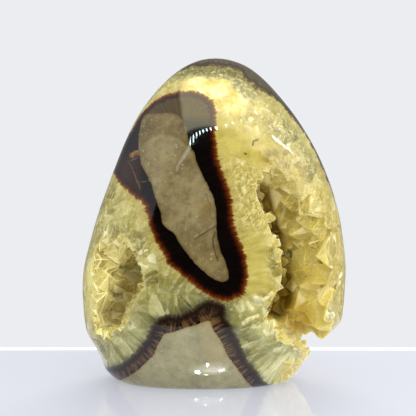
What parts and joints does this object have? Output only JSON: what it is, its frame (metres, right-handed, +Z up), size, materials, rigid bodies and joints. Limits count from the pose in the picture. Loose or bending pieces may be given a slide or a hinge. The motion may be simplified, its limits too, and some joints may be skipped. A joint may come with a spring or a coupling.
{
  "type": "septarian nodule",
  "caption": "Polished egg-shaped stone of dark-banded limestone and yellow calcite that stands on a flat base, with open fissures lined by crystals.",
  "frame": {"origin": "centre of the part's box in X and Y, on the plane of the flat base", "axes": "+Z up from the base to the crown, -Y out of the front face with both crystal hollows, +X to the right of that face, towards the notch"},
  "size_m": [0.1058, 0.0674, 0.1296],
  "materials": {
    "polished_stone": "polished to a high gloss: grey-brown limestone windows, dark brown aragonite bands and translucent yellow calcite",
    "calcite_crystal": "natural flat crystal faces, translucent yellow calcite"
  },
  "bodies": {
    "root": {"nodule": "polished_stone", "right_hollow_crystals": "calcite_crystal", "left_hollow_crystals": "calcite_crystal"}
  },
  "joints": []
}
